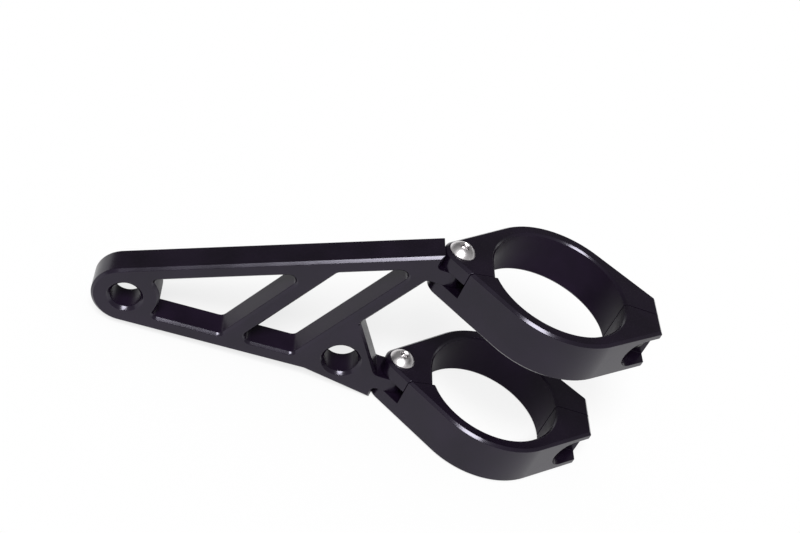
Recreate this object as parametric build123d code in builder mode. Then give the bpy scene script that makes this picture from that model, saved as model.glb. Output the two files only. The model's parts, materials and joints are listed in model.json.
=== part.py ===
from build123d import *
import os
from math import asin, atan2, degrees, hypot, radians, tan

# Clamp-on headlight bracket, in millimetres: a milled truss arm that swivels on two hinged fork clamps.
# Z runs up along the fork tube, and the origin is on the tube's axis at the lower clamp's underside.
# The arm lies in the XZ plane and reaches along -X. The front jaws are on the -Y side.

# Fork clamps
tube_diameter = 50.0
clamp_wall = 5.0
clamp_height = 17.8
clamp_spacing = 53.9
clamp_edge = 1.0
tube_edge = 0.8
closing_margin = 6.4
closing_width = 18.6
jaw_gap = 0.4

# Hinge between a clamp and the arm: two leaves of the clamp around one tongue of the arm
hinge_offset = 12.15
knuckle_radius = 6.0
leaf_height = 5.9
leaf_width = 21.4
leaf_taper = 12.0
leaf_gap = 0.3
hinge_play = 0.1
shoulder_gap = 0.2

# Arm outline, with reaches measured along -X from the hinge axis
arm_thickness = 11.5
arm_edge = 1.0
lamp_reach = 101.3
lamp_end_radius = 11.8
indicator_reach = 22.1
bore_level = 14.1
bottom_slope = 2.2
kink_reach = 33.0
foot_level = 0.3
top_drop = 0.2
brace_angle = 62.0
brace_reach = 7.4
gusset_angle = 56.0
gusset_reach = 7.6
notch_round = 1.3

# Arm windows and bores
top_rail = 5.6
bottom_rail = 5.9
end_brace_width = 4.9
window_width = 17.2
middle_brace_width = 5.8
lamp_boss_radius = 11.8
window_round = 2.5
boss_corner_round = 1.5
lamp_bore = 10.5
indicator_bore = 12.5
bore_edge = 1.2

# Screws: a hinge screw and a clamp screw in each clamp, both with button heads
screw_diameter = 5.0
running_gap = 0.1
thread_gap = 0.05
clearance_gap = 0.25
button_diameter = 9.2
button_height = 2.6
button_rim = 0.8
button_top = 4.4
button_hex = 3.0
button_hex_depth = 1.6
hinge_screw_length = 16.0
clamp_screw_length = 16.0
clamp_screw_offset = 7.5
clamp_screw_seat = 5.0
head_pocket_gap = 1.3

tube_radius = tube_diameter / 2
clamp_radius = tube_radius + clamp_wall
clamp_screw_reach = tube_radius + clamp_screw_offset
closing_reach = clamp_screw_reach + closing_margin
hinge_reach = tube_radius + hinge_offset
screw_radius = screw_diameter / 2
head_pocket_radius = button_diameter / 2 + head_pocket_gap
hinge_axis = (-hinge_reach, 0)
tongue_offset = leaf_height + hinge_play
tongue_height = clamp_height - 2 * tongue_offset
lower_tongue = tongue_offset
upper_tongue = clamp_spacing + tongue_offset
blank_span = 2 * (hinge_reach + closing_reach + clamp_radius)
dome_rim = (button_diameter / 2, button_rim)
dome_top = (button_top / 2, button_height)
dome_rise = button_height - button_rim
dome_centre = (button_height + button_rim) / 2 + (dome_top[0] ** 2 - dome_rim[0] ** 2) / (2 * dome_rise)
dome_radius = hypot(dome_rim[0], dome_rim[1] - dome_centre)


def meet(first, first_angle, second, second_angle):
    """Point where two lines of the arm's plane cross, each given by a point and an angle."""
    along = Vector(1, 0).rotate(Axis.Z, first_angle)
    across = Vector(0, 1).rotate(Axis.Z, second_angle)
    return first + along * ((second - first).dot(across) / along.dot(across))


def beside(point, angle, distance):
    """Point moved to the left of a line that runs at an angle, or to the right if negative."""
    return point + Vector(0, distance).rotate(Axis.Z, angle)


def window_outline(left_point, left_angle, right_point):
    """Four corners of a window between the rails, from its upper left corner clockwise."""
    return [
        meet(top_wall, top_slope, left_point, left_angle),
        meet(top_wall, top_slope, right_point, brace_angle),
        meet(bottom_wall, bottom_slope, right_point, brace_angle),
        meet(bottom_wall, bottom_slope, left_point, left_angle),
    ]


# Arm: construction points in the XZ plane
lamp_axis = Vector(-hinge_reach - lamp_reach, bore_level)
indicator_axis = Vector(-hinge_reach - indicator_reach, bore_level)
end_face = Vector(-hinge_reach - knuckle_radius - shoulder_gap, 0)
brace_root = Vector(-hinge_reach - brace_reach, upper_tongue)
gusset_root = Vector(-hinge_reach - gusset_reach, lower_tongue + tongue_height)
kink_line = Vector(-hinge_reach - kink_reach, 0)
top_corner = end_face + Vector(0, clamp_spacing + clamp_height - top_drop)
top_run = top_corner - lamp_axis
top_slope = degrees(atan2(top_run.Y, top_run.X) - asin(lamp_end_radius / top_run.length))
top_start = beside(lamp_axis, top_slope, lamp_end_radius)
bottom_start = beside(lamp_axis, bottom_slope, -lamp_end_radius)
notch = meet(brace_root, brace_angle, gusset_root, -gusset_angle)
foot = end_face + Vector(0, foot_level)
top_wall = beside(top_start, top_slope, -top_rail)
bottom_wall = beside(bottom_start, bottom_slope, bottom_rail)
end_brace_wall = beside(brace_root, brace_angle, end_brace_width)
middle_brace_wall = beside(end_brace_wall, brace_angle, window_width)
lamp_window_wall = beside(middle_brace_wall, brace_angle, middle_brace_width)
tongue_root = max(brace_reach, gusset_reach) + 2 * arm_edge

# Arm: one milled plate with two windows, two bores and a tongue for each clamp
with BuildPart() as arm:
    with BuildSketch(Plane.XZ) as outline:
        with BuildLine():
            Polyline(
                top_start,
                top_corner,
                meet(brace_root, brace_angle, end_face, 90),
                notch,
                meet(gusset_root, -gusset_angle, end_face, 90),
                foot,
                meet(bottom_start, bottom_slope, kink_line, 90),
                bottom_start,
            )
            ThreePointArc(bottom_start, lamp_axis - Vector(lamp_end_radius, 0), top_start)
        make_face()
        fillet(outline.vertices().sort_by_distance(notch)[0], notch_round)
    extrude(amount=arm_thickness / 2, both=True)
    with BuildSketch(Plane.XZ) as clamp_window:
        with BuildLine():
            Polyline(*window_outline(middle_brace_wall, brace_angle, end_brace_wall), close=True)
        make_face()
        fillet(clamp_window.vertices(), window_round)
    extrude(amount=arm_thickness / 2, both=True, mode=Mode.SUBTRACT)
    with BuildSketch(Plane.XZ) as lamp_window:
        with BuildLine():
            Polyline(*window_outline(lamp_axis, 90, lamp_window_wall), close=True)
        make_face()
        with Locations(lamp_axis):
            Circle(lamp_boss_radius, mode=Mode.SUBTRACT)
        fillet(lamp_window.vertices().sort_by(Axis.X)[2:], window_round)
        fillet(lamp_window.vertices().sort_by_distance(lamp_axis)[:2], boss_corner_round)
    extrude(amount=arm_thickness / 2, both=True, mode=Mode.SUBTRACT)
    chamfer(arm.faces().filter_by(Axis.Y).edges(), arm_edge)
    with BuildSketch(Plane.XZ):
        with Locations(lamp_axis):
            Circle(lamp_bore / 2)
        with Locations(indicator_axis):
            Circle(indicator_bore / 2)
    extrude(amount=arm_thickness / 2, both=True, mode=Mode.SUBTRACT)
    chamfer(arm.edges().filter_by(GeomType.CIRCLE).filter_by(lambda edge: edge.is_closed), bore_edge)
    for tongue_level in (lower_tongue, upper_tongue):
        with BuildSketch(Plane.XY.offset(tongue_level)):
            with Locations((-hinge_reach - tongue_root / 2, 0)):
                Rectangle(tongue_root, arm_thickness)
            with Locations(hinge_axis):
                Circle(arm_thickness / 2)
        extrude(amount=tongue_height)
    with BuildSketch(Plane.XY):
        with Locations(hinge_axis):
            Circle(screw_radius + running_gap)
    extrude(amount=clamp_spacing + clamp_height, mode=Mode.SUBTRACT)

arm.part.label = "arm"
os.makedirs("parts", exist_ok=True)
export_step(arm.part, "parts/arm.step")


def leaf_outline(gap):
    """Corners of the hinge leaf's strip, from behind the knuckle to the tube, with a gap off each side."""
    start = -hinge_reach - 2 * knuckle_radius
    end = -tube_radius / 2
    start_half = leaf_width / 2 - gap - (start + hinge_reach) * tan(radians(leaf_taper))
    end_half = leaf_width / 2 - gap - (end + hinge_reach) * tan(radians(leaf_taper))
    return [(start, start_half), (end, end_half), (end, -end_half), (start, -start_half)]


def clamp_ring(base):
    """Whole clamp before it is parted: a ring with a hinge knuckle at one end and a flat closing end."""
    with BuildPart() as ring:
        with BuildSketch(Plane.XY.offset(base)):
            with BuildLine() as guide:
                CenterArc((0, 0), clamp_radius, 0, 360)
                CenterArc(hinge_axis, knuckle_radius, 0, 360)
                Line((closing_reach, -closing_width / 2), (closing_reach, closing_width / 2))
            make_hull(guide.edges())
            Circle(tube_radius, mode=Mode.SUBTRACT)
        extrude(amount=clamp_height)
        rims = ring.faces().filter_by(Axis.Z)
        outer_edges = [edge for rim in rims for edge in rim.outer_wire().edges()]
        inner_edges = [edge for rim in rims for edge in rim.inner_wires().edges()]
        chamfer(outer_edges, clamp_edge)
        chamfer(inner_edges, tube_edge)
    return ring.part


def jaw(base, side, slot_from):
    """One jaw of a clamp: its half of the ring, with its hinge leaf left on one side of the slot."""
    with BuildPart() as half:
        add(clamp_ring(base))
        with BuildSketch(Plane.XY.offset(base)):
            with Locations((0, -side * (blank_span - jaw_gap) / 2)):
                Rectangle(blank_span, blank_span)
            with BuildLine():
                Polyline(*leaf_outline(leaf_gap / 2), close=True)
            make_face(mode=Mode.SUBTRACT)
        extrude(amount=clamp_height, mode=Mode.SUBTRACT)
        with BuildSketch(Plane.XY.offset(base + slot_from)):
            with BuildLine():
                Polyline(*leaf_outline(-leaf_gap / 2), close=True)
            make_face()
        extrude(amount=clamp_height - leaf_height, mode=Mode.SUBTRACT)
    return half.part


def button_screw(seat_plane, length):
    """Screw with its domed head on a seat, drawn in a plane whose X is the seat and whose Y is the axis."""
    with BuildPart() as screw:
        with BuildSketch(seat_plane):
            with BuildLine():
                Polyline(
                    dome_top,
                    (0, button_height),
                    (0, -length),
                    (screw_radius, -length),
                    (screw_radius, 0),
                    (button_diameter / 2, 0),
                    dome_rim,
                )
                RadiusArc(dome_rim, dome_top, -dome_radius)
            make_face()
        revolve(axis=Axis(seat_plane.origin, seat_plane.y_dir))
        crown = seat_plane.origin + seat_plane.y_dir * button_height
        with BuildSketch(Plane(origin=crown, x_dir=seat_plane.x_dir, z_dir=seat_plane.y_dir)):
            RegularPolygon(button_hex / 2, 6, major_radius=False)
        extrude(amount=-button_hex_depth, mode=Mode.SUBTRACT)
    return screw.part


for clamp_name, clamp_base in (("lower", 0.0), ("upper", clamp_spacing)):
    clamp_top = clamp_base + clamp_height
    screw_level = clamp_base + clamp_height / 2

    # Front jaw: lower hinge leaf, tapped for the hinge screw, and an open pocket for the clamp screw's head
    with BuildPart() as front_jaw:
        add(jaw(clamp_base, -1, leaf_height))
        with BuildSketch(Plane.XY.offset(clamp_base)):
            with Locations(hinge_axis):
                Circle(screw_radius + thread_gap)
        extrude(amount=leaf_height, mode=Mode.SUBTRACT)
        with BuildSketch(Plane.XZ):
            with Locations((clamp_screw_reach, screw_level)):
                Circle(screw_radius + clearance_gap)
        extrude(amount=clamp_screw_seat, mode=Mode.SUBTRACT)
        with BuildSketch(Plane.XZ.offset(clamp_screw_seat)):
            with Locations((clamp_screw_reach, screw_level)):
                Circle(head_pocket_radius)
            with Locations((clamp_screw_reach + closing_reach / 2, screw_level)):
                Rectangle(closing_reach, 2 * head_pocket_radius)
        extrude(amount=clamp_radius, mode=Mode.SUBTRACT)
    front_jaw.part.label = f"{clamp_name}_front_jaw"
    export_step(front_jaw.part, f"parts/{clamp_name}_front_jaw.step")

    # Rear jaw: upper hinge leaf, bored for the hinge screw, and a tapped hole for the clamp screw
    with BuildPart() as rear_jaw:
        add(jaw(clamp_base, 1, 0.0))
        with BuildSketch(Plane.XY.offset(clamp_top)):
            with Locations(hinge_axis):
                Circle(screw_radius + clearance_gap)
        extrude(amount=-leaf_height, mode=Mode.SUBTRACT)
        with BuildSketch(Plane.XZ):
            with Locations((clamp_screw_reach, screw_level)):
                Circle(screw_radius + thread_gap)
        extrude(amount=-clamp_radius, mode=Mode.SUBTRACT)
    rear_jaw.part.label = f"{clamp_name}_rear_jaw"
    export_step(rear_jaw.part, f"parts/{clamp_name}_rear_jaw.step")

    # Hinge screw: down through the upper leaf and the tongue into the lower leaf
    hinge_seat = Plane(origin=(-hinge_reach, 0, clamp_top), x_dir=(1, 0, 0), z_dir=(0, -1, 0))
    hinge_screw = button_screw(hinge_seat, hinge_screw_length)
    hinge_screw.label = f"{clamp_name}_hinge_screw"
    export_step(hinge_screw, f"parts/{clamp_name}_hinge_screw.step")

    # Clamp screw: from the front jaw's pocket across the closing end into the rear jaw
    clamp_origin = (clamp_screw_reach, -clamp_screw_seat, screw_level)
    clamp_seat = Plane(origin=clamp_origin, x_dir=(1, 0, 0), z_dir=(0, 0, -1))
    clamp_screw = button_screw(clamp_seat, clamp_screw_length)
    clamp_screw.label = f"{clamp_name}_clamp_screw"
    export_step(clamp_screw, f"parts/{clamp_name}_clamp_screw.step")
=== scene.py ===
"""Dresses a clamp-on headlight bracket: anodised arm and jaws, threaded screws, and a plain white stage."""

import json
from math import acos, cos, hypot, pi, radians, sin, sqrt
from typing import NamedTuple

import bmesh
import bpy
from bpy.props import FloatProperty, FloatVectorProperty, PointerProperty
from mathutils import Matrix, Vector
from mathutils.bvhtree import BVHTree


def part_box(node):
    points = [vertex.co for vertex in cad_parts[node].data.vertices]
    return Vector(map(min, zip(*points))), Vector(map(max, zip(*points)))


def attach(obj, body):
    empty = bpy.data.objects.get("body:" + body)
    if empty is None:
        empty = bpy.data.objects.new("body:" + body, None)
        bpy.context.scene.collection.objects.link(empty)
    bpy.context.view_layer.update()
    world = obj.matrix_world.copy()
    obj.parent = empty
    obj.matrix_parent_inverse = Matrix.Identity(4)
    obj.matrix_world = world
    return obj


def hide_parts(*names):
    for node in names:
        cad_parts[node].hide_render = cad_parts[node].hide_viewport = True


bl_info = {
    "name": "Headlight Bracket Dresser",
    "version": (1, 0, 0),
    "blender": (4, 5, 0),
    "location": "View3D > Sidebar > Bracket",
    "description": "Builds the finished look of a clamp-on headlight bracket round its construction model",
    "category": "Object",
}

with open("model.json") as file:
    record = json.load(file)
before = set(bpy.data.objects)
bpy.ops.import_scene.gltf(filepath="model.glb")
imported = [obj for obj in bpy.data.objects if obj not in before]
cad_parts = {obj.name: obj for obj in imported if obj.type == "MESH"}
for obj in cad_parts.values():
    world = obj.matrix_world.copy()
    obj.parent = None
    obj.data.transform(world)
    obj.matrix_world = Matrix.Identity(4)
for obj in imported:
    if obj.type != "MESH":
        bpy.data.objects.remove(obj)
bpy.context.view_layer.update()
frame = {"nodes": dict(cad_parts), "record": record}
mounts = {mount["name"]: mount for mount in frame["record"]["mounts"]}

CLAMPS = ("lower", "upper")
SIDES = ("front", "rear")
ALONG_TUBE = Vector((0, 0, 1))
ACROSS_ARM = Vector((0, 1, 0))
TUBE_RADIUS = mounts["lower_clamp"]["dims"]["r_mm"] / 1000
BORE_RIM = 0.001

# Distances and an angle too small to count, and the angle from which an edge is sharp
WELD = 0.000002
CLEAR = 5 * WELD
RIM_SLACK = 20 * WELD
FLAT = radians(0.4)
CREASE = radians(30)

# How far a face's normal leans, as a share of its length
CHAMFER_LEAN = cos(radians(45))
CHAMFER_SLACK = 0.03
LEVEL = 0.1
SLANTED = 0.3
SIDEWAYS = 0.9
INWARD = 0.95

# Steps of round shapes, and a bevel's round profile
EDGE_STEPS = 2
ROOT_STEPS = 5
HEXAGON_SIDES = 6
DOME_STEPS = 8
TURN_STEPS = 36
RING_STEPS = 96
ROUND = 0.5

# Threads: half of a ridge's foot and where a screw's thread ends, in pitches, how deep the ridges' feet sit,
# how far a cross hole's thread goes on, and the bevel on a screw's end
RIDGE_FOOT = 0.44
THREAD_TURNS = 7
SCREW_SINK = 0.0001
TAP_SINK = 0.00005
TAP_REACH = 0.004
SCREW_LEAD = 0.0004

# A hexagon socket's mouth, walls and drilled bottom, as shares of its width across the flats
MOUTH_RADIUS = 0.66
MOUTH_SINK = 0.01
MOUTH_DEPTH = 0.14
SOCKET_REACH = 0.6
DRILL_RADIUS = 0.4
DRILL_SINK = 0.02
POINT_RADIUS = 0.03
POINT_SINK = 0.2

# Places of the finishes on a milled piece, and of a screw's second finish: its broached socket, whose darker
# colour is painted shade in the recess
SKIN, RIM, CUT = range(3)
BROACHED_AND_SHADED = 1

# Gloss, grain and tones of the finishes, and the painted shade in the screws' sockets
SEALED_IOR = 1.43
STEEL_IOR = 1.5
BUMP_STRENGTH = 0.5
GRAIN_IN_GLOSS = 0.35
CUTTER_LINES = 3200.0
CUTTER_DEPTH = 0.000012
LATHE_LINES = 5200.0
STEEL_SHADE = 0.8
# Share of the screw's colour kept in its hex socket: painted shade in the recess
SOCKET_PAINTED_SHADE = 0.62
WHITE = (1, 1, 1, 1)
PAPER = (0.86, 0.86, 0.86, 1)

# The floor's half width, and its gap under the bracket
FLOOR_REACH = 6.0
FLOOR_DROP = 0.00005


class Anodising(NamedTuple):
    """How one kind of anodised surface shines, how strong its dye is, and how deep its grain."""

    shine: float = 0.5
    roughness: tuple = (0.2, 0.26)
    dye: float = 1.0
    grain: float = 0.00001
    lines_along: str = ""


BLASTED = Anodising()
CHAMFERED = Anodising(shine=0.62, roughness=(0.165, 0.215), grain=0.000003)
SIDE_MILLED = Anodising(shine=0.21, roughness=(0.28, 0.36), dye=1.5)
BORED = Anodising(shine=0.145, roughness=(0.34, 0.42), dye=1.5, lines_along="Z")


class ScrewSteel(NamedTuple):
    """How metallic and rough a screw's steel is, and how deep its grain."""

    metal: float
    roughness: tuple
    grain: float


BRIGHT = ScrewSteel(metal=1.0, roughness=(0.28, 0.38), grain=0.000003)
BRIGHT_SOCKET = ScrewSteel(metal=1.0, roughness=(0.2, 0.32), grain=0.000008)
BLACKENED = ScrewSteel(metal=0.0, roughness=(0.32, 0.48), grain=0.000006)
BLACKENED_SOCKET = ScrewSteel(metal=0.0, roughness=(0.2, 0.32), grain=0.000008)


class BracketSizes(bpy.types.PropertyGroup):
    """Small sizes of edges, holes and screws that the construction model leaves plain."""

    edge_softness: FloatProperty(
        name="Edge softness", description="Width of the tiny round on every milled edge",
        default=0.00014, min=0.0, unit="LENGTH", subtype="DISTANCE")
    root_round: FloatProperty(
        name="Root round", description="Round of the inside corners where the tongues leave the arm",
        default=0.0014, min=0.0, unit="LENGTH", subtype="DISTANCE")
    countersink: FloatProperty(
        name="Countersink", description="Width of the bevel round each screw hole",
        default=0.0004, min=0.0, unit="LENGTH", subtype="DISTANCE")
    thread_pitch: FloatProperty(
        name="Thread pitch", description="Rise of the screw thread in one turn",
        default=0.0008, min=0.0001, unit="LENGTH", subtype="DISTANCE")
    thread_depth: FloatProperty(
        name="Thread depth", description="Height of the thread's ridge",
        default=0.00042, min=0.0001, unit="LENGTH", subtype="DISTANCE")
    button_rim: FloatProperty(
        name="Button rim", description="Height of the straight rim under the button head's dome",
        default=0.0004, min=0.0, unit="LENGTH", subtype="DISTANCE")
    button_top: FloatProperty(
        name="Button top", description="Diameter of the flat on top of the button head",
        default=0.0044, min=0.0, unit="LENGTH", subtype="DISTANCE")
    button_hex: FloatProperty(
        name="Button socket", description="Width across the flats of the button head's hexagon socket",
        default=0.003, min=0.0, unit="LENGTH", subtype="DISTANCE")
    button_height: FloatProperty(
        name="Button height", description="Height of the button head above its seat",
        default=0.0026, min=0.0, unit="LENGTH", subtype="DISTANCE")
    socket_depth: FloatProperty(
        name="Socket depth", description="Depth of the button head's hexagon socket",
        default=0.0016, min=0.0, unit="LENGTH", subtype="DISTANCE")
    thread_gap: FloatProperty(
        name="Thread gap", description="Room between a screw and the wall of its tapped hole",
        default=0.00005, min=0.0, unit="LENGTH", subtype="DISTANCE")
    screw_diameter: FloatProperty(
        name="Screw diameter", description="Outside diameter of every screw's thread",
        default=0.005, min=0.001, unit="LENGTH", subtype="DISTANCE")


class BracketFinish(bpy.types.PropertyGroup):
    """Colours of the finishes."""

    anodised_dark: FloatVectorProperty(
        name="Anodised, dark", description="Darker tone of the black anodised finish",
        default=(0.0038, 0.0020, 0.0056), size=3, min=0.0, max=1.0, subtype="COLOR")
    anodised_light: FloatVectorProperty(
        name="Anodised, light", description="Lighter tone of the black anodised finish",
        default=(0.0070, 0.0036, 0.0104), size=3, min=0.0, max=1.0, subtype="COLOR")
    anodised_gloss: FloatVectorProperty(
        name="Anodised, gloss", description="Cast of the light that the anodised finish reflects",
        default=(0.88, 0.85, 1.0), size=3, min=0.0, max=1.0, subtype="COLOR")
    stainless: FloatVectorProperty(
        name="Stainless steel", description="Colour of the bright hinge screws",
        default=(0.88, 0.85, 0.86), size=3, min=0.0, max=1.0, subtype="COLOR")
    black_oxide: FloatVectorProperty(
        name="Black oxide", description="Colour of the dark clamp screws",
        default=(0.012, 0.012, 0.014), size=3, min=0.0, max=1.0, subtype="COLOR")


class BracketStage(bpy.types.PropertyGroup):
    """Light, floor and camera."""

    key_strength: FloatProperty(
        name="Key strength", description="Strength of the soft light above the camera",
        default=3.6, min=0.0)
    key_spread: FloatProperty(
        name="Key spread", description="Angle that the soft light fills, seen from the bracket",
        default=radians(24), min=0.0, unit="ROTATION", subtype="ANGLE")
    ambient: FloatProperty(
        name="Ambient", description="Brightness of the room's even light",
        default=0.25, min=0.0)
    floor_glow: FloatProperty(
        name="Floor glow", description="Share of the floor's white that stays in the shadow",
        default=0.78, min=0.0, max=1.0, subtype="FACTOR")
    mirror_glow: FloatProperty(
        name="Mirror glow", description="Share of the floor's white that a gloss still shows in the shadow",
        default=0.12, min=0.0, max=1.0, subtype="FACTOR")
    lens: FloatProperty(
        name="Lens", description="Focal length of the camera",
        default=63.293, min=1.0, unit="CAMERA")


# Meshes

def new_piece(name, bm, materials, soft=False):
    """A shaded object from a bmesh, with its place in its mesh, and no sharp edges left if it is soft."""
    mesh = bpy.data.meshes.new(name)
    bm.to_mesh(mesh)
    bm.free()
    mesh.shade_smooth()
    if not soft:
        mesh.set_sharp_from_angle(angle=CREASE)
    for material in materials:
        mesh.materials.append(material)
    piece = bpy.data.objects.new(name, mesh)
    bpy.context.scene.collection.objects.link(piece)
    return piece


def soften(piece, width):
    """Gives every sharp edge of a piece a tiny round that catches the light."""
    bevel = piece.modifiers.new("soft_edges", "BEVEL")
    bevel.width = width
    bevel.segments = EDGE_STEPS
    bevel.profile = ROUND
    bevel.limit_method = "ANGLE"
    bevel.angle_limit = CREASE
    bevel.use_clamp_overlap = False
    flat = piece.modifiers.new("flat_faces", "WEIGHTED_NORMAL")
    flat.mode = "FACE_AREA"
    flat.weight = 100


def milled_copy(node):
    """A bmesh of a construction node, merged, with each flat face in one."""
    bm = bmesh.new()
    bm.from_mesh(frame["nodes"][node].data)
    bmesh.ops.remove_doubles(bm, verts=bm.verts[:], dist=WELD)
    bmesh.ops.dissolve_limit(bm, angle_limit=FLAT, verts=bm.verts[:], edges=bm.edges[:])
    for face in bm.faces:
        face.material_index = SKIN
        face.smooth = True
    bm.normal_update()
    return bm


def middle_of(node):
    """The middle of a construction node's box."""
    low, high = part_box(node)
    return (low + high) / 2


def mark_chamfers(bm, axis):
    """Gives the faces that slope at 45 degrees to an axis the rims' finish."""
    for face in bm.faces:
        if abs(abs(face.normal.dot(axis)) - CHAMFER_LEAN) < CHAMFER_SLACK:
            face.material_index = RIM


def rim_edges(bm, centre, axis, radius):
    """Sharp edges where a hole of a given axis and radius meets the faces round it."""
    found = []
    for edge in bm.edges:
        if len(edge.link_faces) == 2 and edge.calc_face_angle(0.0) > CREASE:
            reaches = [(vert.co - centre).cross(axis).length for vert in edge.verts]
            if all(abs(reach - radius) < RIM_SLACK for reach in reaches):
                found.append(edge)
    return found


def bevel_rims(bm, centre, axis, radius, width):
    """Countersinks a hole's rims."""
    rims = rim_edges(bm, centre, axis, radius)
    if not rims:
        raise RuntimeError("a screw hole's rim was not found")
    bmesh.ops.bevel(bm, geom=rims, offset=width, offset_type="OFFSET", segments=1, profile=ROUND,
                    affect="EDGES", material=-1, clamp_overlap=True)


def open_edges(bm):
    """Edges that only one face uses."""
    return [edge for edge in bm.edges if edge.is_boundary]


def ring(bm, radius, height):
    """Edges of a circle round Z."""
    before = set(bm.edges)
    bmesh.ops.create_circle(bm, segments=RING_STEPS, radius=radius, matrix=Matrix.Translation((0, 0, height)))
    return [edge for edge in bm.edges if edge not in before]


def hexagon(bm, across, height):
    """Edges of a hexagon round Z, divided as finely as a ring."""
    before = set(bm.edges)
    bmesh.ops.create_circle(bm, segments=HEXAGON_SIDES, radius=across / 2 / cos(radians(30)),
                            matrix=Matrix.Translation((0, 0, height)))
    sides = [edge for edge in bm.edges if edge not in before]
    bmesh.ops.subdivide_edges(bm, edges=sides, cuts=RING_STEPS // HEXAGON_SIDES - 1)
    return [edge for edge in bm.edges if edge not in before]


def skin(bm, loops):
    """Joins loops in order and closes both ends."""
    for first, second in zip(loops, loops[1:]):
        bmesh.ops.bridge_loops(bm, edges=first + second)
    for end in (loops[0], loops[-1]):
        bmesh.ops.contextual_create(bm, geom=end)
    bmesh.ops.recalc_face_normals(bm, faces=bm.faces[:])


def thread(bm, base, crest, start, end, pitch):
    """Winds a closed V ridge round Z."""
    foot = pitch * RIDGE_FOOT
    places = ((base, 0, start - foot), (crest, 0, start), (base, 0, start + foot))
    corners = [bm.verts.new(place) for place in places]
    profile = bm.faces.new(corners)
    steps = round((end - start) / pitch * TURN_STEPS)
    bmesh.ops.spin(bm, geom=[profile, *profile.edges, *corners], cent=(0, 0, 0), axis=(0, 0, 1),
                   dvec=(0, 0, pitch / TURN_STEPS), angle=2 * pi * steps / TURN_STEPS, steps=steps)
    bmesh.ops.holes_fill(bm, edges=open_edges(bm))


def button_screw(sizes, head_diameter, length):
    """A screw round Z with its domed head on the XY plane and its threaded shank below."""
    bm = bmesh.new()
    skin(bm, shank(bm, sizes, -length) + dome(bm, sizes, head_diameter / 2) + socket(bm, sizes))
    mark_socket(bm, sizes)
    pitch, radius = sizes.thread_pitch, sizes.screw_diameter / 2
    root = radius - sizes.thread_depth
    thread(bm, root - SCREW_SINK, radius, pitch - length, THREAD_TURNS * pitch - length, pitch)
    bmesh.ops.recalc_face_normals(bm, faces=bm.faces[:])
    return bm


def mark_socket(bm, sizes):
    """Gives the walls and bottom of a screw's socket the broached finish, whose darker colour is painted
    shade in the recess.
    """
    mouth = sizes.button_height - sizes.button_hex * (MOUTH_DEPTH + MOUTH_SINK)
    for face in bm.faces:
        middle = face.calc_center_median()
        if 0 < middle.z < mouth and middle.xy.length < sizes.button_hex * SOCKET_REACH:
            face.material_index = BROACHED_AND_SHADED


def shank(bm, sizes, end):
    """Loops of a screw's shank, from its pointed-off end up to the seat."""
    radius = sizes.screw_diameter / 2
    root = radius - sizes.thread_depth
    plain = end + (THREAD_TURNS + 1) * sizes.thread_pitch
    return [
        ring(bm, root - SCREW_LEAD, end),
        ring(bm, root, end + SCREW_LEAD),
        ring(bm, root, plain),
        ring(bm, radius, plain + sizes.thread_depth),
        ring(bm, radius, sizes.edge_softness),
    ]


def dome(bm, sizes, radius):
    """Loops of a button head, from its bearing face up over the dome."""
    rim, height, top = sizes.button_rim, sizes.button_height, sizes.button_top / 2
    centre = (height + rim) / 2 + (top ** 2 - radius ** 2) / (2 * (height - rim))
    crown = hypot(radius, rim - centre)
    start, stop = acos(radius / crown), acos(top / crown)
    loops = [ring(bm, radius - sizes.edge_softness, 0.0), ring(bm, radius, sizes.edge_softness)]
    for step in range(DOME_STEPS + 1):
        angle = start + (stop - start) * step / DOME_STEPS
        loops.append(ring(bm, crown * cos(angle), centre + crown * sin(angle)))
    return loops


def socket(bm, sizes):
    """Loops of a hexagon socket, from its chamfered mouth down to its drilled bottom."""
    across, top = sizes.button_hex, sizes.button_height
    bottom = top - sizes.socket_depth
    return [
        ring(bm, across * MOUTH_RADIUS, top - across * MOUTH_SINK),
        hexagon(bm, across, top - across * MOUTH_DEPTH),
        hexagon(bm, across, bottom),
        ring(bm, across * DRILL_RADIUS, bottom - across * DRILL_SINK),
        ring(bm, across * POINT_RADIUS, bottom - across * POINT_SINK),
    ]


# Materials

def add_node(tree, kind, place, **settings):
    """A node of a tree, with its settings and the values of its named inputs."""
    node = tree.nodes.new(kind)
    node.location = place
    values = settings.pop("inputs", {})
    for key, value in settings.items():
        setattr(node, key, value)
    for key, value in values.items():
        node.inputs[key].default_value = value
    return node


def new_group(name, inputs, outputs):
    """A shader node group with float or vector inputs and float outputs."""
    group = bpy.data.node_groups.new(name, "ShaderNodeTree")
    for label, kind, value in inputs:
        made = group.interface.new_socket(label, in_out="INPUT", socket_type=kind)
        if value is not None:
            made.default_value = value
    for label in outputs:
        group.interface.new_socket(label, in_out="OUTPUT", socket_type="NodeSocketFloat")
    return group, add_node(group, "NodeGroupInput", (-600, 0)), add_node(group, "NodeGroupOutput", (600, 0))


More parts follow.
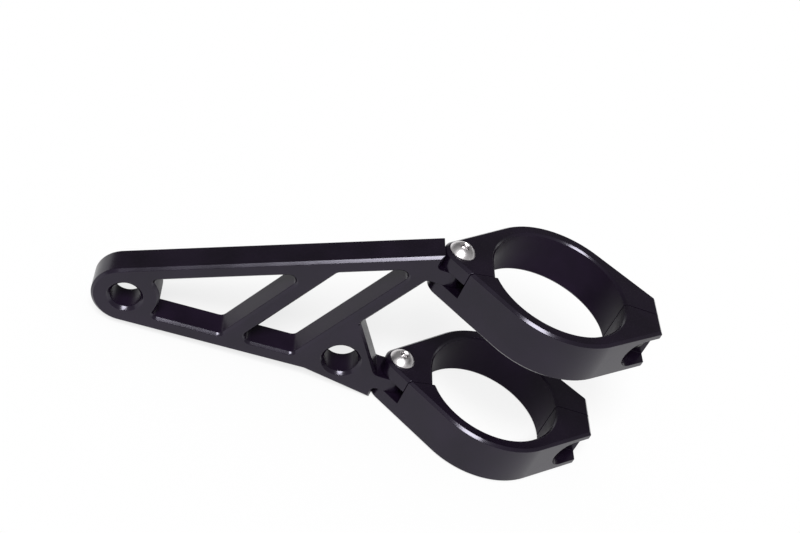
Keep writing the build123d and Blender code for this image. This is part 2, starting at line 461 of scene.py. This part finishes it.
def blasted_grain():
    """Group: the fine pitted skin of a blasted and dyed metal, and its slow change of tone."""
    if "blasted_grain" in bpy.data.node_groups:
        return bpy.data.node_groups["blasted_grain"]
    inputs = [
        ("Vector", "NodeSocketVector", None),
        ("Grain", "NodeSocketFloat", 2600.0),
        ("Blotch", "NodeSocketFloat", 70.0),
    ]
    group, inside, outside = new_group("blasted_grain", inputs, ("Height", "Tone", "Gloss"))
    link = group.links.new
    fine = add_node(group, "ShaderNodeTexNoise", (-300, 200), inputs={"Detail": 3.0, "Roughness": 0.55})
    slow = add_node(group, "ShaderNodeTexNoise", (-300, -100), inputs={"Detail": 2.0, "Roughness": 0.5})
    tone = add_node(group, "ShaderNodeMapRange", (0, -100),
                    inputs={"From Min": 0.3, "From Max": 0.7, "To Min": 0.0, "To Max": 1.0})
    gloss = add_node(group, "ShaderNodeMath", (250, 0), operation="MULTIPLY_ADD", use_clamp=True,
                     inputs={1: GRAIN_IN_GLOSS})
    link(inside.outputs["Vector"], fine.inputs["Vector"])
    link(inside.outputs["Vector"], slow.inputs["Vector"])
    link(inside.outputs["Grain"], fine.inputs["Scale"])
    link(inside.outputs["Blotch"], slow.inputs["Scale"])
    link(slow.outputs["Fac"], tone.inputs["Value"])
    link(fine.outputs["Fac"], gloss.inputs[0])
    link(tone.outputs["Result"], gloss.inputs[2])
    link(fine.outputs["Fac"], outside.inputs["Height"])
    link(tone.outputs["Result"], outside.inputs["Tone"])
    link(gloss.outputs["Value"], outside.inputs["Gloss"])
    return group


def turned_lines():
    """Group: the close lines that a cutting tool leaves, round an axis or along it."""
    if "turned_lines" in bpy.data.node_groups:
        return bpy.data.node_groups["turned_lines"]
    inputs = [("Distance", "NodeSocketFloat", 0.0), ("Lines", "NodeSocketFloat", CUTTER_LINES)]
    group, inside, outside = new_group("turned_lines", inputs, ("Height",))
    link = group.links.new
    spread = add_node(group, "ShaderNodeMath", (-300, 0), operation="MULTIPLY")
    lines = add_node(group, "ShaderNodeTexNoise", (0, 0), noise_dimensions="1D",
                     inputs={"Scale": 1.0, "Detail": 2.0, "Roughness": 0.6})
    link(inside.outputs["Distance"], spread.inputs[0])
    link(inside.outputs["Lines"], spread.inputs[1])
    link(spread.outputs["Value"], lines.inputs["W"])
    link(lines.outputs["Fac"], outside.inputs["Height"])
    return group


def new_material(name, metal, refraction):
    """A material with its shader, and where its patterns read their place."""
    material = bpy.data.materials.new(name)
    material.use_nodes = True
    tree = material.node_tree
    shader = tree.nodes["Principled BSDF"]
    shader.inputs["Metallic"].default_value = metal
    shader.inputs["IOR"].default_value = refraction
    place = add_node(tree, "ShaderNodeTexCoord", (-1100, 0))
    return material, tree, shader, place


def two_tones(tree, dark, light):
    """A mix of two colours."""
    mix = add_node(tree, "ShaderNodeMix", (-400, 250), data_type="RGBA")
    mix.inputs["A"].default_value = (*dark, 1)
    mix.inputs["B"].default_value = (*light, 1)
    return mix


def shaded(colour, share):
    """A colour with every channel at a share of its strength."""
    return [channel * share for channel in colour]


def anodised(name, finish, surface):
    """Satin black anodised aluminium, with turned lines along one axis where it was bored."""
    if name in bpy.data.materials:
        return bpy.data.materials[name]
    material, tree, shader, place = new_material(name, 0.0, SEALED_IOR)
    shader.inputs["Specular Tint"].default_value = (*finish.anodised_gloss, 1)
    shader.inputs["Specular IOR Level"].default_value = surface.shine
    link = tree.links.new
    least, most = surface.roughness
    grain = add_node(tree, "ShaderNodeGroup", (-850, 0), node_tree=blasted_grain())
    dark, light = shaded(finish.anodised_dark, surface.dye), shaded(finish.anodised_light, surface.dye)
    colour = two_tones(tree, dark, light)
    rough = add_node(tree, "ShaderNodeMapRange", (-400, 0), inputs={"To Min": least, "To Max": most})
    bump = add_node(tree, "ShaderNodeBump", (-250, -300),
                    inputs={"Strength": BUMP_STRENGTH, "Distance": surface.grain})
    link(place.outputs["Object"], grain.inputs["Vector"])
    link(grain.outputs["Tone"], colour.inputs["Factor"])
    link(colour.outputs["Result"], shader.inputs["Base Color"])
    link(grain.outputs["Gloss"], rough.inputs["Value"])
    link(rough.outputs["Result"], shader.inputs["Roughness"])
    link(grain.outputs["Height"], bump.inputs["Height"])
    last = bump
    if surface.lines_along:
        split = add_node(tree, "ShaderNodeSeparateXYZ", (-850, -400))
        lines = add_node(tree, "ShaderNodeGroup", (-600, -400), node_tree=turned_lines(),
                         inputs={"Lines": CUTTER_LINES})
        last = add_node(tree, "ShaderNodeBump", (-50, -350),
                        inputs={"Strength": BUMP_STRENGTH, "Distance": CUTTER_DEPTH})
        link(place.outputs["Object"], split.inputs["Vector"])
        link(split.outputs[surface.lines_along], lines.inputs["Distance"])
        link(lines.outputs["Height"], last.inputs["Height"])
        link(bump.outputs["Normal"], last.inputs["Normal"])
    link(last.outputs["Normal"], shader.inputs["Normal"])
    return material


def turned_steel(name, colour, steel, centre, across):
    """Screw steel, turned round an axis through a centre, with fine grain over the turning lines."""
    material, tree, shader, place = new_material(name, steel.metal, STEEL_IOR)
    link = tree.links.new
    least, most = steel.roughness
    shift = add_node(tree, "ShaderNodeVectorMath", (-950, -300), operation="SUBTRACT")
    shift.inputs[1].default_value = centre
    flat = add_node(tree, "ShaderNodeVectorMath", (-780, -300), operation="MULTIPLY")
    flat.inputs[1].default_value = across
    reach = add_node(tree, "ShaderNodeVectorMath", (-610, -300), operation="LENGTH")
    lines = add_node(tree, "ShaderNodeGroup", (-440, -300), node_tree=turned_lines(),
                     inputs={"Lines": LATHE_LINES})
    grain = add_node(tree, "ShaderNodeGroup", (-850, 0), node_tree=blasted_grain(),
                     inputs={"Grain": 4200.0, "Blotch": 260.0})
    tint = two_tones(tree, shaded(colour, STEEL_SHADE), colour)
    rough = add_node(tree, "ShaderNodeMapRange", (-400, 0), inputs={"To Min": least, "To Max": most})
    bump = add_node(tree, "ShaderNodeBump", (-250, -100),
                    inputs={"Strength": BUMP_STRENGTH, "Distance": steel.grain})
    turned = add_node(tree, "ShaderNodeBump", (-50, -300),
                      inputs={"Strength": BUMP_STRENGTH, "Distance": steel.grain})
    link(place.outputs["Object"], grain.inputs["Vector"])
    link(place.outputs["Object"], shift.inputs[0])
    link(shift.outputs["Vector"], flat.inputs[0])
    link(flat.outputs["Vector"], reach.inputs[0])
    link(reach.outputs["Value"], lines.inputs["Distance"])
    link(grain.outputs["Tone"], tint.inputs["Factor"])
    link(tint.outputs["Result"], shader.inputs["Base Color"])
    link(grain.outputs["Gloss"], rough.inputs["Value"])
    link(rough.outputs["Result"], shader.inputs["Roughness"])
    link(grain.outputs["Height"], bump.inputs["Height"])
    link(lines.outputs["Height"], turned.inputs["Height"])
    link(bump.outputs["Normal"], turned.inputs["Normal"])
    link(turned.outputs["Normal"], shader.inputs["Normal"])
    return material


# Operators

class BRACKET_OT_arm(bpy.types.Operator):
    """Dress the milled truss arm"""

    bl_idname = "bracket.dress_arm"
    bl_label = "Dress arm"

    def execute(self, context):
        sizes, finish = context.scene.bracket_sizes, context.scene.bracket_finish
        bm = milled_copy("arm")
        self.round_roots(bm, sizes.root_round)
        self.mark_openings(bm)
        mark_chamfers(bm, ACROSS_ARM)
        finishes = [
            anodised("arm_anodised", finish, BLASTED),
            anodised("rim_anodised", finish, CHAMFERED),
            anodised("opening_anodised", finish, SIDE_MILLED),
        ]
        arm = new_piece("arm_milled", bm, finishes, soft=True)
        soften(arm, sizes.edge_softness)
        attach(arm, "arm")
        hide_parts("arm")
        return {"FINISHED"}

    def round_roots(self, bm, width):
        """Rounds the inside corners where the tongues leave the arm's chamfers."""
        roots = []
        for edge in bm.edges:
            along = edge.verts[1].co - edge.verts[0].co
            if edge.calc_face_angle_signed(0.0) < -CREASE and abs(along.x) > WELD:
                roots.append(edge)
        bmesh.ops.bevel(bm, geom=roots, offset=width, offset_type="OFFSET", segments=ROOT_STEPS,
                        profile=ROUND, affect="EDGES", material=-1, clamp_overlap=False)
        bm.normal_update()

    def mark_openings(self, bm):
        """Gives the walls that face another wall across an opening the duller finish of a side-milled cut."""
        solid = BVHTree.FromBMesh(bm)
        for face in bm.faces:
            start = face.calc_center_median() + face.normal * CLEAR
            if abs(face.normal.y) < LEVEL and solid.ray_cast(start, face.normal)[0]:
                face.material_index = CUT


class BRACKET_OT_jaws(bpy.types.Operator):
    """Dress the four clamp jaws, with turned bores and countersunk screw holes"""

    bl_idname = "bracket.dress_jaws"
    bl_label = "Dress jaws"

    def execute(self, context):
        sizes, finish = context.scene.bracket_sizes, context.scene.bracket_finish
        finishes = [
            anodised("jaw_anodised", finish, BLASTED),
            anodised("rim_anodised", finish, CHAMFERED),
            anodised("bore_anodised", finish, BORED),
        ]
        for clamp in CLAMPS:
            tapped = {"front": (middle_of(f"{clamp}_hinge_screw"), ALONG_TUBE),
                      "rear": (middle_of(f"{clamp}_clamp_screw"), ACROSS_ARM)}
            for side in SIDES:
                node = f"{clamp}_{side}_jaw"
                bm = milled_copy(node)
                bevel_rims(bm, *tapped[side], sizes.screw_diameter / 2 + sizes.thread_gap, sizes.countersink)
                if side == "rear":
                    self.square_leaf(bm)
                self.mark_bore(bm)
                mark_chamfers(bm, ALONG_TUBE)
                piece = new_piece(f"{node}_milled", bm, finishes, soft=True)
                soften(piece, sizes.edge_softness)
                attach(piece, f"{clamp}_clamp")
                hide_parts(node)
        return {"FINISHED"}

    def square_leaf(self, bm):
        """Cuts the front half of the rear jaw's leaf straight where it meets the tube."""
        bmesh.ops.bisect_plane(bm, geom=[*bm.verts, *bm.edges, *bm.faces], dist=WELD, plane_co=(0, 0, 0),
                               plane_no=ACROSS_ARM)
        bm.normal_update()
        for vert in bm.verts:
            if vert.co.y < -WELD and vert.co.xy.length < TUBE_RADIUS + BORE_RIM:
                back = sqrt(TUBE_RADIUS ** 2 - vert.co.y ** 2) - TUBE_RADIUS
                sides = [face.normal for face in vert.link_faces if face.normal.y < -SIDEWAYS]
                slide = -back * sides[0].x / sides[0].y if sides else 0.0
                vert.co += Vector((back, slide, 0))
        bm.normal_update()

    def mark_bore(self, bm):
        """Gives the faces that grip the tube the turned finish."""
        for face in bm.faces:
            inward = -face.calc_center_median()
            inward.z = 0
            if face.normal.dot(inward.normalized()) > INWARD:
                face.material_index = CUT


class BRACKET_OT_hinge_screws(bpy.types.Operator):
    """Make the stainless screws that the clamps swivel on"""

    bl_idname = "bracket.make_hinge_screws"
    bl_label = "Make hinge screws"

    def execute(self, context):
        sizes, finish = context.scene.bracket_sizes, context.scene.bracket_finish
        # The socket's copy of the steel colour is darkened: painted shade in the hex socket, with the
        # broached roughness
        across, shaded_socket_colour = (1, 1, 0), shaded(finish.stainless, SOCKET_PAINTED_SHADE)
        for clamp in CLAMPS:
            node = f"{clamp}_hinge_screw"
            low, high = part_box(node)
            seat = middle_of(node)
            seat.z = high.z - sizes.button_height
            steels = [
                turned_steel(f"{clamp}_stainless", finish.stainless, BRIGHT, seat, across),
                turned_steel(f"{clamp}_stainless_socket", shaded_socket_colour, BRIGHT_SOCKET, seat, across),
            ]
            bm = button_screw(sizes, high.x - low.x, seat.z - low.z)
            bmesh.ops.translate(bm, verts=bm.verts[:], vec=seat)
            screw = new_piece(f"{node}_steel", bm, steels)
            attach(screw, f"{clamp}_clamp")
            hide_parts(node)
        return {"FINISHED"}


class BRACKET_OT_clamp_screws(bpy.types.Operator):
    """Make the black screws that close the clamps"""

    bl_idname = "bracket.make_clamp_screws"
    bl_label = "Make clamp screws"

    def execute(self, context):
        sizes, finish = context.scene.bracket_sizes, context.scene.bracket_finish
        # The socket's copy of the black oxide colour is darkened: painted shade in the hex socket, with the
        # broached roughness
        across, shaded_socket_colour = (1, 0, 1), shaded(finish.black_oxide, SOCKET_PAINTED_SHADE)
        for clamp in CLAMPS:
            node = f"{clamp}_clamp_screw"
            low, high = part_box(node)
            seat = middle_of(node)
            seat.y = low.y + sizes.button_height
            steels = [
                turned_steel(f"{clamp}_black_oxide", finish.black_oxide, BLACKENED, seat, across),
                turned_steel(f"{clamp}_black_oxide_socket", shaded_socket_colour, BLACKENED_SOCKET, seat, across),
            ]
            bm = button_screw(sizes, high.x - low.x, high.y - seat.y)
            lay = Matrix.Translation(seat) @ Matrix.Rotation(radians(90), 4, "X")
            bmesh.ops.transform(bm, matrix=lay, verts=bm.verts[:])
            screw = new_piece(f"{node}_black", bm, steels)
            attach(screw, f"{clamp}_clamp")
            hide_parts(node)
        return {"FINISHED"}


class BRACKET_OT_tapped_threads(bpy.types.Operator):
    """Wind the threads that show in the tapped holes beyond the screws' ends"""

    bl_idname = "bracket.wind_tapped_threads"
    bl_label = "Wind tapped threads"

    def execute(self, context):
        sizes, finish = context.scene.bracket_sizes, context.scene.bracket_finish
        for clamp in CLAMPS:
            threads = {"hinge": self.hinge_thread(sizes, clamp), "cross": self.cross_thread(sizes, clamp)}
            for hole, bm in threads.items():
                piece = new_piece(f"{clamp}_{hole}_thread", bm, [anodised("jaw_anodised", finish, BLASTED)])
                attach(piece, f"{clamp}_clamp")
        return {"FINISHED"}

    def inner_thread(self, sizes, start, end):
        """A thread round Z on the wall of a tapped hole."""
        wall = sizes.screw_diameter / 2 + sizes.thread_gap
        bm = bmesh.new()
        thread(bm, wall + TAP_SINK, wall - sizes.thread_depth, start, end, sizes.thread_pitch)
        return bm

    def hinge_thread(self, sizes, clamp):
        """The thread below a hinge screw's end."""
        axis = middle_of(f"{clamp}_hinge_screw")
        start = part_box(f"{clamp}_front_jaw")[0].z + sizes.thread_pitch
        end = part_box(f"{clamp}_hinge_screw")[0].z - SCREW_LEAD
        bm = self.inner_thread(sizes, start, end)
        bmesh.ops.recalc_face_normals(bm, faces=bm.faces[:])
        bmesh.ops.translate(bm, verts=bm.verts[:], vec=(axis.x, axis.y, 0))
        return bm

    def cross_thread(self, sizes, clamp):
        """The thread beyond a clamp screw's end, cut off below the rear jaw's slanted face."""
        axis = middle_of(f"{clamp}_clamp_screw")
        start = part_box(f"{clamp}_clamp_screw")[1].y + SCREW_LEAD
        bm = self.inner_thread(sizes, start, start + TAP_REACH)
        lay = Matrix.Translation((axis.x, 0, axis.z)) @ Matrix.Rotation(radians(-90), 4, "X")
        bmesh.ops.transform(bm, matrix=lay, verts=bm.verts[:])
        point, out = self.flank(f"{clamp}_rear_jaw")
        bmesh.ops.bisect_plane(bm, geom=[*bm.verts, *bm.edges, *bm.faces],
                               plane_co=point - out * sizes.countersink, plane_no=out, clear_outer=True)
        bmesh.ops.holes_fill(bm, edges=open_edges(bm))
        bmesh.ops.recalc_face_normals(bm, faces=bm.faces[:])
        return bm

    def flank(self, node):
        """A point on the rear jaw's slanted closing face, and the way it faces."""
        slanted = []
        for face in frame["nodes"][node].data.polygons:
            if min(face.normal.x, face.normal.y) > SLANTED and abs(face.normal.z) < LEVEL:
                slanted.append(face)
        largest = max(slanted, key=lambda face: face.area)
        return largest.center.copy(), largest.normal.copy()


class BRACKET_OT_stage(bpy.types.Operator):
    """Set the white floor, the studio light and the camera"""

    bl_idname = "bracket.set_stage"
    bl_label = "Set stage"

    def execute(self, context):
        stage = context.scene.bracket_stage
        context.scene.view_settings.view_transform = "Standard"
        self.lay_floor(stage)
        self.light_room(context, stage)
        self.hang_key(context, stage)
        self.place_camera(context, stage)
        return {"FINISHED"}

    def seen(self, tree, place, direct=1.0, mirrored=1.0):
        """A value for what the camera sees directly, or else for what it sees in a gloss or through glass."""
        x, y = place
        path = add_node(tree, "ShaderNodeLightPath", place)
        mirror = add_node(tree, "ShaderNodeMath", (x + 200, y), operation="MAXIMUM")
        share = add_node(tree, "ShaderNodeMath", (x + 400, y), operation="MULTIPLY", inputs={1: mirrored})
        either = add_node(tree, "ShaderNodeMath", (x + 600, y), operation="MULTIPLY_ADD", inputs={1: direct})
        tree.links.new(path.outputs["Is Glossy Ray"], mirror.inputs[0])
        tree.links.new(path.outputs["Is Transmission Ray"], mirror.inputs[1])
        tree.links.new(mirror.outputs["Value"], share.inputs[0])
        tree.links.new(path.outputs["Is Camera Ray"], either.inputs[0])
        tree.links.new(share.outputs["Value"], either.inputs[2])
        return either.outputs["Value"]

    def lay_floor(self, stage):
        """Lays white paper just under the bracket, which keeps part of its white in the shadow."""
        bm = bmesh.new()
        bmesh.ops.create_grid(bm, x_segments=1, y_segments=1, size=FLOOR_REACH,
                              matrix=Matrix.Translation((0, 0, -FLOOR_DROP)))
        paper = bpy.data.materials.new("white_paper")
        paper.use_nodes = True
        tree = paper.node_tree
        link = tree.links.new
        shader = tree.nodes["Principled BSDF"]
        shader.inputs["Base Color"].default_value = PAPER
        shader.inputs["Roughness"].default_value = 0.9
        shader.inputs["Specular IOR Level"].default_value = 0.0
        glow = add_node(tree, "ShaderNodeEmission", (0, -200))
        mix = add_node(tree, "ShaderNodeMixShader", (300, 0))
        link(self.seen(tree, (-700, 300), stage.floor_glow, stage.mirror_glow), mix.inputs["Fac"])
        link(shader.outputs["BSDF"], mix.inputs[1])
        link(glow.outputs["Emission"], mix.inputs[2])
        link(mix.outputs["Shader"], tree.nodes["Material Output"].inputs["Surface"])
        floor = new_piece("floor", bm, [paper])

    def light_room(self, context, stage):
        """Lights the room evenly, with walls that are white low down, and dark higher up and behind."""
        world = bpy.data.worlds.new("studio")
        context.scene.world = world
        world.use_nodes = True
        tree = world.node_tree
        link = tree.links.new
        even = tree.nodes["Background"]
        even.inputs["Color"].default_value = WHITE
        even.inputs["Strength"].default_value = stage.ambient
        place = add_node(tree, "ShaderNodeTexCoord", (-900, -300))
        split = add_node(tree, "ShaderNodeSeparateXYZ", (-700, -300))
        back = add_node(tree, "ShaderNodeMapRange", (-500, -400),
                        inputs={"From Min": -0.5, "From Max": 0.7, "To Min": 0.35, "To Max": 0.14})
        rise = add_node(tree, "ShaderNodeMapRange", (-500, -100), interpolation_type="SMOOTHSTEP",
                        inputs={"From Min": 0.03, "From Max": 0.2})
        wall = add_node(tree, "ShaderNodeMix", (-250, -250), data_type="RGBA")
        wall.inputs["A"].default_value = WHITE
        backdrop = add_node(tree, "ShaderNodeBackground", (0, -250))
        mix = add_node(tree, "ShaderNodeMixShader", (250, 0))
        link(place.outputs["Generated"], split.inputs["Vector"])
        link(split.outputs["Y"], back.inputs["Value"])
        link(split.outputs["Z"], rise.inputs["Value"])
        link(rise.outputs["Result"], wall.inputs["Factor"])
        link(back.outputs["Result"], wall.inputs["B"])
        link(wall.outputs["Result"], backdrop.inputs["Color"])
        link(self.seen(tree, (-400, 400)), mix.inputs["Fac"])
        link(even.outputs["Background"], mix.inputs[1])
        link(backdrop.outputs["Background"], mix.inputs[2])
        link(mix.outputs["Shader"], tree.nodes["World Output"].inputs["Surface"])

    def hang_key(self, context, stage):
        """Hangs the soft key light to the front and above."""
        lamp = bpy.data.lights.new("key", "SUN")
        lamp.energy = stage.key_strength
        lamp.angle = stage.key_spread
        key = bpy.data.objects.new("key", lamp)
        toward = Vector((-0.206, -0.566, 0.7986))
        key.rotation_euler = toward.to_track_quat("Z", "Y").to_euler()
        context.scene.collection.objects.link(key)

    def place_camera(self, context, stage):
        """Places the camera above the front of the bracket, tipped to one side."""
        eye = Vector((-0.170658, -0.373339, 0.338514))
        ahead = Vector((0.24160147, 0.77547559, -0.58332353))
        above = Vector((-0.29221745, 0.63136999, 0.7183181))
        camera = bpy.data.objects.new("camera", bpy.data.cameras.new("camera"))
        camera.data.sensor_width = 36
        camera.data.lens = stage.lens
        camera.data.clip_start = 0.01
        turn = Matrix((ahead.cross(above), above, -ahead)).transposed().to_4x4()
        camera.matrix_world = Matrix.Translation(eye) @ turn
        context.scene.collection.objects.link(camera)
        context.scene.camera = camera


class BRACKET_PT_sidebar(bpy.types.Panel):
    """Lists the steps and their values"""

    bl_idname = "BRACKET_PT_sidebar"
    bl_label = "Headlight bracket"
    bl_space_type = "VIEW_3D"
    bl_region_type = "UI"
    bl_category = "Bracket"

    def draw(self, context):
        layout = self.layout
        for group in (context.scene.bracket_sizes, context.scene.bracket_finish, context.scene.bracket_stage):
            box = layout.box()
            for name in group.bl_rna.properties.keys():
                if name not in ("rna_type", "name"):
                    box.prop(group, name)
        for step in STEPS:
            layout.operator(step.bl_idname)


GROUPS = (BracketSizes, BracketFinish, BracketStage)
STEPS = (BRACKET_OT_arm, BRACKET_OT_jaws, BRACKET_OT_hinge_screws, BRACKET_OT_clamp_screws,
         BRACKET_OT_tapped_threads, BRACKET_OT_stage)
CLASSES = (*GROUPS, *STEPS, BRACKET_PT_sidebar)


def register():
    """Adds the steps, their values and the panel."""
    for item in CLASSES:
        bpy.utils.register_class(item)
    bpy.types.Scene.bracket_sizes = PointerProperty(type=BracketSizes)
    bpy.types.Scene.bracket_finish = PointerProperty(type=BracketFinish)
    bpy.types.Scene.bracket_stage = PointerProperty(type=BracketStage)


def unregister():
    """Takes everything away again."""
    del bpy.types.Scene.bracket_stage
    del bpy.types.Scene.bracket_finish
    del bpy.types.Scene.bracket_sizes
    for item in reversed(CLASSES):
        bpy.utils.unregister_class(item)


def main():
    """Dresses the bracket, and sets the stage."""
    register()
    bpy.ops.bracket.dress_arm()
    bpy.ops.bracket.dress_jaws()
    bpy.ops.bracket.make_hinge_screws()
    bpy.ops.bracket.make_clamp_screws()
    bpy.ops.bracket.wind_tapped_threads()
    bpy.ops.bracket.set_stage()


if __name__ == "__main__":
    main()
